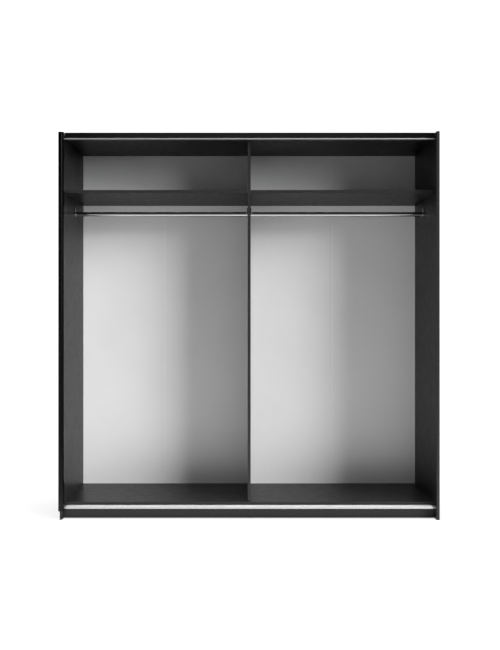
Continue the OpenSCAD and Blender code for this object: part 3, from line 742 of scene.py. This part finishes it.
def make_rail_screws():
    """Countersunk screws through the cups' plates; those in the partition are shorter."""
    sunk = 2
    grid = new_grid()
    for side in (-1, 1):
        outer, inner = side * (INNER_X - sunk), side * (PARTITION_X + sunk)
        screw(grid, point(outer, RAIL_D, CUP_SCREW_Z), (-side, 0, 0), PAN_HEAD, 11, flush=True)
        screw(grid, point(inner, RAIL_D, CUP_SCREW_Z), (side, 0, 0), PAN_HEAD, 8, flush=True)
    finish_piece(grid, "rail_cup_screws", "rail_bracket_screws")


# ---- shelf supports, shoe and seam strips --------------------------------------------

def make_shelf_supports():
    """Pegs with a flat tongue under the shelf, four to a shelf."""
    top, half_w, reach = limits("left_shelf", Z)[0], 5, 12
    axis_z = top - 2.5
    peg = [(0, -7), (2.0, -7), (2.5, -6.4), (2.5, 0.6), (0, 0.6)]
    grid = new_grid()
    for side in (-1, 1):
        for wall, into in ((side * INNER_X, -side), (side * PARTITION_X, side)):
            for d in (150, 540):
                lathe(grid, peg, framed(point(wall, d, axis_z), (into, 0, 0)))
                corners = rectangle(*sorted((wall, wall + into * reach)), d - half_w, d + half_w)
                radii = [0.3 if x == wall else 2.4 for x, _ in corners]
                bar_z(grid, rounded(corners, radii, 5), axis_z, top)
    finish_piece(grid, "shelf_support_pegs", "shelf_supports", bevel=0.4)


def make_shoe():
    low, high = zip(*(limits("partition_shoe", axis) for axis in (X, Y, Z)))
    grid = new_grid()
    block(grid, low, high, 0.8, 3)
    finish_piece(grid, "partition_foot_shoe", "partition_shoe")


def make_seams():
    """H-shaped strips that join two back panels."""
    radii = [0.45, 0.45, 0.3, 0.1, 0.1, 0.3] * 2
    for name in ("left", "right"):
        x, (low, high) = middle(f"back_joint_{name}", X), limits(f"back_joint_{name}", Y)
        flange, web, thick = 5, 1, 1
        outline = [(x - flange, low), (x + flange, low), (x + flange, low + thick), (x + web, low + thick)]
        outline += [(x + web, high - thick), (x + flange, high - thick)]
        outline += [(2 * x - u, low + high - d) for u, d in outline]
        grid = new_grid()
        bar_z(grid, rounded(outline, radii), *limits(f"back_joint_{name}", Z))
        finish_piece(grid, f"{name}_seam_strip", f"back_joint_{name}")


# ---- base ----------------------------------------------------------------------------

FOOT_D = {name: round(middle(f"{name}_foot", Y), 1) for name in ("front", "rear")}


def foot_profile():
    """(radius, height) pairs of a levelling foot: sole with a grip ring, neck and threaded stem."""
    profile = [(0, 0), (22.8, 0), (24.4, 0.6), (25, 2), (25, 5), (24.2, 6.6), (22, 8), (9, 8), (7, 8.6),
               (6.2, 10), (5, 10.4), (4.6, 10.9)]
    z = 11.2
    while z < 62:
        profile += [(4.95, z), (4.95, z + 0.3), (4.35, z + 0.75), (4.35, z + 1.05)]
        z += 1.5
    return profile + [(4.2, z - 0.2), (0, z - 0.2)]


def grip(radius, angle):
    """Fourteen notches around the sole."""
    return radius - 0.7 * max(0.0, math.cos(14 * angle)) ** 4 if radius > 20 else radius


def make_feet():
    for name, d in FOOT_D.items():
        grid = new_grid()
        lathe(grid, foot_profile(), framed(point(0, d, 0), (0, 0, 1)), segments=112, radius_at=grip)
        finish_piece(grid, f"{name}_foot_leveller", f"{name}_foot", smooth=40)


def make_foot_sockets():
    """Threaded sleeve under a square plate, with a screw near each corner."""
    low, high = limits("foot_sockets", Z)
    plate_z, half, screw_at = high - 3, 30, 23
    sleeve = [(5.3, low + 0.6), (5.9, low), (11.4, low), (12, low + 0.6), (12, plate_z - 1.4),
              (12.8, plate_z), (5.3, plate_z)]
    grid, screws = new_grid(), new_grid()
    for d in FOOT_D.values():
        bar_z(grid, rounded(rectangle(-half, half, d - half, d + half), 6, 5), plate_z, high)
        lathe(grid, sleeve, framed(point(0, d, 0), (0, 0, 1)), segments=48, ring=True)
        for x in (-screw_at, screw_at):
            for step in (-screw_at, screw_at):
                screw(screws, point(x, d + step, plate_z), (0, 0, -1), PAN_HEAD, 13)
    finish_piece(grid, "leveller_sockets", "foot_sockets", bevel=0.4)
    finish_piece(screws, "leveller_socket_fixings", "foot_socket_screws")


def make_glides():
    """Thin plates under the side panels and under the middle of the front plinth."""
    thick, inset, half = limits("side_glides", Z)[1], 1, 15
    grid = new_grid()
    for x0, x1 in ((inset - OUTER_X, -INNER_X - inset), (INNER_X + inset, OUTER_X - inset)):
        for d in (65, 585):
            bar_z(grid, rounded(rectangle(x0, x1, d - half, d + half), 3, 5), 0, thick)
    finish_piece(grid, "side_panel_glides", "side_glides", bevel=0.4)

    grid = new_grid()
    plate = rectangle(*limits("plinth_glide", X), *limits("plinth_glide", Y))
    bar_z(grid, rounded(plate, 3, 5), *limits("plinth_glide", Z))
    finish_piece(grid, "plinth_middle_glide", "plinth_glide", bevel=0.4)


def make_plinth_brackets():
    """Angles in the corner between a plinth and the bottom panel, one screw in each leg."""
    flat, drop, thick, half = 22, 22, 2, 9
    low, screw_at = BASE_Z - thick, 13.2
    grid, screws = new_grid(), new_grid()
    for x in (-880, -300, 300, 880):
        for wall, way in ((limits("front_plinth", Y)[1], 1), (limits("rear_plinth", Y)[0], -1)):
            corners = [(wall, BASE_Z), (wall + way * flat, BASE_Z), (wall + way * flat, low),
                       (wall + way * thick, low), (wall + way * thick, BASE_Z - drop), (wall, BASE_Z - drop)]
            bar_x(grid, rounded(corners, [0.2, 0.9, 0.9, 1.5, 0.9, 0.9], 4), x - half, x + half)
            screw(screws, point(x, wall + way * screw_at, low), (0, 0, -1), PAN_HEAD, 13)
            screw(screws, point(x, wall + way * thick, BASE_Z - screw_at), (0, way, 0), PAN_HEAD, 13)
    finish_piece(grid, "plinth_angle_brackets", "plinth_brackets", bevel=0.5)
    finish_piece(screws, "plinth_angle_fixings", "plinth_bracket_screws")


# ---- hidden and half-hidden fixings --------------------------------------------------

def make_track_screws():
    """Screws through the top track's tall leg, and from behind the front plinth into the bottom track."""
    leg_d, plinth_d, plinth_z = limits("top_track", Y)[1] - 2, limits("front_plinth", Y)[1], 62.5
    grid = new_grid()
    for x in (-900, -650, -400, -130, 130, 400, 650, 900):
        screw(grid, point(x, leg_d, ROOF_MID), (0, -1, 0), LOW_PAN_HEAD, 13)
    finish_piece(grid, "top_track_fixings", "top_track_screws")

    grid = new_grid()
    for x in (-860, -520, -180, 180, 520, 860):
        screw(grid, point(x, plinth_d, plinth_z), (0, 1, 0), TRACK_PAN_HEAD, 22.5)
    finish_piece(grid, "bottom_track_fixings", "bottom_track_screws")


def make_back_screws():
    """Screws along the upper and lower edges of each back panel, and up the partition."""
    inset = 60
    grid = new_grid()
    for number in (1, 2, 3, 4):
        low, high = limits(f"back_panel_{number}", X)
        for x in (low + inset, (low + high) / 2, high - inset):
            for z in (BASE_MID, ROOF_MID):
                screw(grid, point(x, PANEL_BACK, z), (0, 1, 0), SMALL_PAN_HEAD, 15)
    for z in (250, 600, 950, 1300, 1650, 1900):
        screw(grid, point(0, PANEL_BACK, z), (0, 1, 0), SMALL_PAN_HEAD, 15)
    finish_piece(grid, "back_panel_fixings", "back_screws")


def make_partition_screws():
    grid = new_grid()
    for d in (130, 340, 550):
        screw(grid, point(0, d, ROOF_Z - CONFIRMAT[1]), (0, 0, 1), CONFIRMAT, 47, flush=True)
        screw(grid, point(0, d, BASE_Z + CONFIRMAT[1]), (0, 0, -1), CONFIRMAT, 47, flush=True)
    finish_piece(grid, "partition_fixings", "partition_screws")


def make_cams():
    """Cam discs in the top and bottom panel, and the bolts that join them to the side panels."""
    disc = [(0, -12.4), (7.1, -12.4), (7.5, -12), (7.5, -0.5), (7.1, 0), (6.0, 0)]
    bolt = [(0, -11), (1.6, -11), (2.6, -10)]
    for z in (-9.4, -7.8, -6.2, -4.6):
        bolt += [(3.4, z), (3.0, z + 0.8)]
    bolt += [(3.4, -3), (3.4, 0.6), (2.6, 1.4), (2.6, 26.5), (1.9, 27.5), (1.9, 30), (3.2, 31.2),
             (3.2, 33), (2.4, 33.8), (0, 33.8)]
    bolt_reach = 34
    discs, bolts = new_grid(), new_grid()
    for side in (-1, 1):
        for d in (105, 330, 560):
            for face, way, edge in ((ROOF_Z, 1, ROOF_MID), (BASE_Z, -1, BASE_MID)):
                place = framed(point(side * (INNER_X - bolt_reach), d, face), (0, 0, way))
                recessed(discs, disc, place, 3.9, 0.8, 2)
                lathe(bolts, bolt, framed(point(side * INNER_X, d, edge), (-side, 0, 0)))
    finish_piece(discs, "cam_housings", "cam_discs")
    finish_piece(bolts, "cam_dowel_bolts", "cam_bolts")


def ribs(radius, angle):
    """Sixteen ribs along a dowel."""
    return radius + (0.08 if math.cos(16 * angle) > 0 else -0.12)


def make_dowels():
    peg = [(0, -11), (3.1, -11), (3.9, -9.8), (3.9, 19.8), (3.1, 21), (0, 21)]
    grid = new_grid()
    for side in (-1, 1):
        for d in (150, 500):
            for z in (ROOF_MID, BASE_MID):
                place = framed(point(side * INNER_X, d, z), (-side, 0, 0))
                lathe(grid, peg, place, segments=48, radius_at=ribs)
    finish_piece(grid, "ribbed_dowels", "dowels", smooth=50)


make_top_track()
make_cover_strip()
make_bottom_track()
make_track_caps()
make_stops()
make_closing_profile()
make_closing_brush()
make_profile_screws()
for rail_side in (-1, 1):
    make_rail(rail_side)
make_rail_screws()
make_shelf_supports()
make_shoe()
make_seams()
make_feet()
make_foot_sockets()
make_glides()
make_plinth_brackets()
make_track_screws()
make_back_screws()
make_partition_screws()
make_cams()
make_dowels()


# ---- stage, light, camera ------------------------------------------------------------

ROOM_RADIANCE = 0.05
# (azimuth limits, elevation limits), soft edge, radiance; azimuth 0 is the camera's side, 90 the right
SOFTBOXES = [
    (((31, 66), (-4, 34)), 3, 10.5),
    (((33, 64), (5, 25)), 4, 8.3),
    (((32, 65), (-5, 4)), 2, 3.0),
    (((55, 80), (34, 58)), 6, 8.0),
    (((-180, 180), (60, 200)), 4, 8.5),
    (((-10, 10), (3, 20)), 1, 0.35),
    (((-62, -20), (-12, 10)), 3, 0.6),
    (((90, 180), (0, 60)), 20, 0.6),
    (((-180, -90), (0, 60)), 20, 0.6),
]
# The floor glows: evenly, more in a band ahead of the plinth, and less far in front. Lengths in metres.
FLOOR_REACH = 200
FLOOR_GLOW, BAND_GLOW, FAR_SHARE = 0.66, 2.6, 0.25
BAND_RISE, BAND_FALL, BAND_SIDES = (0.03, 0.20), (0.5, 1.2), (0.95, 1.25)
FAR_Y = (-3.0, -2.3)
PANEL_FRONT = -FRONT
PLINTH_FRONT = PANEL_FRONT - limits("front_plinth", Y)[0] * MM
HALF_BOARD = (OUTER_X - INNER_X) / 2 * MM
# (middle, half width, front edge) of what covers the floor: the body between the side panels, and those
COVERED = ((0.0, INNER_X * MM, PLINTH_FRONT), (INNER_X * MM + HALF_BOARD, HALF_BOARD, PANEL_FRONT))
SHADE_EDGE = 0.004

# The camera stands level, straight in front, a little over a metre above the floor.
CAMERA_AWAY, CAMERA_UP = 4.611, 1.0295
LENS, SENSOR, SHIFT = 48.67, 36, (0.0013, -0.0015)


def box_distance(tree, across, along, centre, half_width, half_length):
    """How far a floor point lies outside strips at +-centre of the given half width and length."""
    aside = combine(tree, "SUBTRACT", size_of(tree, across), centre)
    aside = combine(tree, "SUBTRACT", size_of(tree, aside), half_width)
    ahead = combine(tree, "SUBTRACT", size_of(tree, along), half_length)
    return combine(tree, "MAXIMUM", aside, ahead)


def floor_light(tree):
    """Emission of the floor."""
    source = tree.nodes.new("ShaderNodeTexCoord")
    split = tree.nodes.new("ShaderNodeSeparateXYZ")
    tree.links.new(source.outputs["Object"], split.inputs["Vector"])
    across, along = split.outputs["X"], split.outputs["Y"]
    ahead = combine(tree, "SUBTRACT", combine(tree, "MULTIPLY", along, -1.0), PLINTH_FRONT)
    band = combine(tree, "MULTIPLY", remap(tree, ahead, 0.0, BAND_GLOW, *BAND_RISE),
                   remap(tree, ahead, 1.0, 0.0, *BAND_FALL))
    band = combine(tree, "MULTIPLY", band, remap(tree, size_of(tree, across), 1.0, 0.0, *BAND_SIDES))
    light = combine(tree, "ADD", band, FLOOR_GLOW)
    # no glow where the wardrobe covers the floor: a painted shadow beneath it
    for strip in COVERED:
        outside = box_distance(tree, across, along, *strip)
        bare = remap(tree, outside, 0.0, 1.0, -SHADE_EDGE, SHADE_EDGE)
        light = combine(tree, "MULTIPLY", light, bare)
    return combine(tree, "MULTIPLY", light, remap(tree, along, FAR_SHARE, 1.0, *FAR_Y))


def make_stage():
    """White studio floor whose glow stops beneath the wardrobe: a painted shadow."""
    mesh = bpy.data.meshes.new("floor")
    grid = new_grid()
    bmesh.ops.create_grid(grid, x_segments=8, y_segments=8, size=FLOOR_REACH)
    grid.to_mesh(mesh)
    grid.free()
    floor = bpy.data.objects.new("floor", mesh)
    scene.collection.objects.link(floor)
    material, tree, shader = start("studio_floor", Roughness=0.7, Specular_IOR_Level=0.1)
    tone = remap(tree, noise(tree, 2, 3), 0.0, 1.0)
    tree.links.new(blend(tree, tone, grey(0.19), grey(0.21)), shader.inputs["Base Color"])
    shader.inputs["Emission Color"].default_value = grey(1.0)
    tree.links.new(floor_light(tree), shader.inputs["Emission Strength"])
    mesh.materials.append(material)


def softbox(tree, azimuth, elevation, spans, edge, radiance):
    """Rectangular light at infinity: spans are azimuth and elevation limits in degrees."""
    value = radiance
    for angle, (low, high) in zip((azimuth, elevation), spans):
        for limit, inner in ((low, low + edge), (high, high - edge)):
            ramp = remap(tree, angle, 0.0, 1.0, math.radians(limit), math.radians(inner))
            value = combine(tree, "MULTIPLY", ramp, value)
    return value


def make_world():
    """Large soft boxes far away: low on the right, and overhead. The camera sees plain white."""
    world = bpy.data.worlds.new("studio")
    scene.world = world
    world.use_nodes = True
    tree = world.node_tree
    source = tree.nodes.new("ShaderNodeTexCoord")
    split = tree.nodes.new("ShaderNodeSeparateXYZ")
    tree.links.new(source.outputs["Generated"], split.inputs["Vector"])
    towards = combine(tree, "MULTIPLY", split.outputs["Y"], -1.0)
    azimuth = combine(tree, "ARCTAN2", split.outputs["X"], towards)
    elevation = combine(tree, "ARCSINE", split.outputs["Z"], 0.0)
    total = ROOM_RADIANCE
    for spans, edge, radiance in SOFTBOXES:
        total = combine(tree, "ADD", softbox(tree, azimuth, elevation, spans, edge, radiance), total)
    room = tree.nodes["Background"]
    room.inputs["Color"].default_value = grey(1.0)
    tree.links.new(total, room.inputs["Strength"])
    seen = tree.nodes.new("ShaderNodeBackground")
    seen.inputs["Color"].default_value = grey(1.0)
    seen.inputs["Strength"].default_value = 1.2
    ray = tree.nodes.new("ShaderNodeLightPath")
    mix = tree.nodes.new("ShaderNodeMixShader")
    tree.links.new(ray.outputs["Is Camera Ray"], mix.inputs["Fac"])
    tree.links.new(room.outputs["Background"], mix.inputs[1])
    tree.links.new(seen.outputs["Background"], mix.inputs[2])
    tree.links.new(mix.outputs["Shader"], tree.nodes["World Output"].inputs["Surface"])


def make_camera():
    data = bpy.data.cameras.new("camera")
    data.lens = LENS
    data.sensor_width = SENSOR
    data.shift_x, data.shift_y = SHIFT
    camera = bpy.data.objects.new("camera", data)
    scene.collection.objects.link(camera)
    camera.location = (0, FRONT - CAMERA_AWAY, CAMERA_UP)
    camera.rotation_euler = (math.radians(90), 0, 0)
    scene.camera = camera


make_stage()
make_world()
make_camera()
scene.view_settings.view_transform = "Standard"
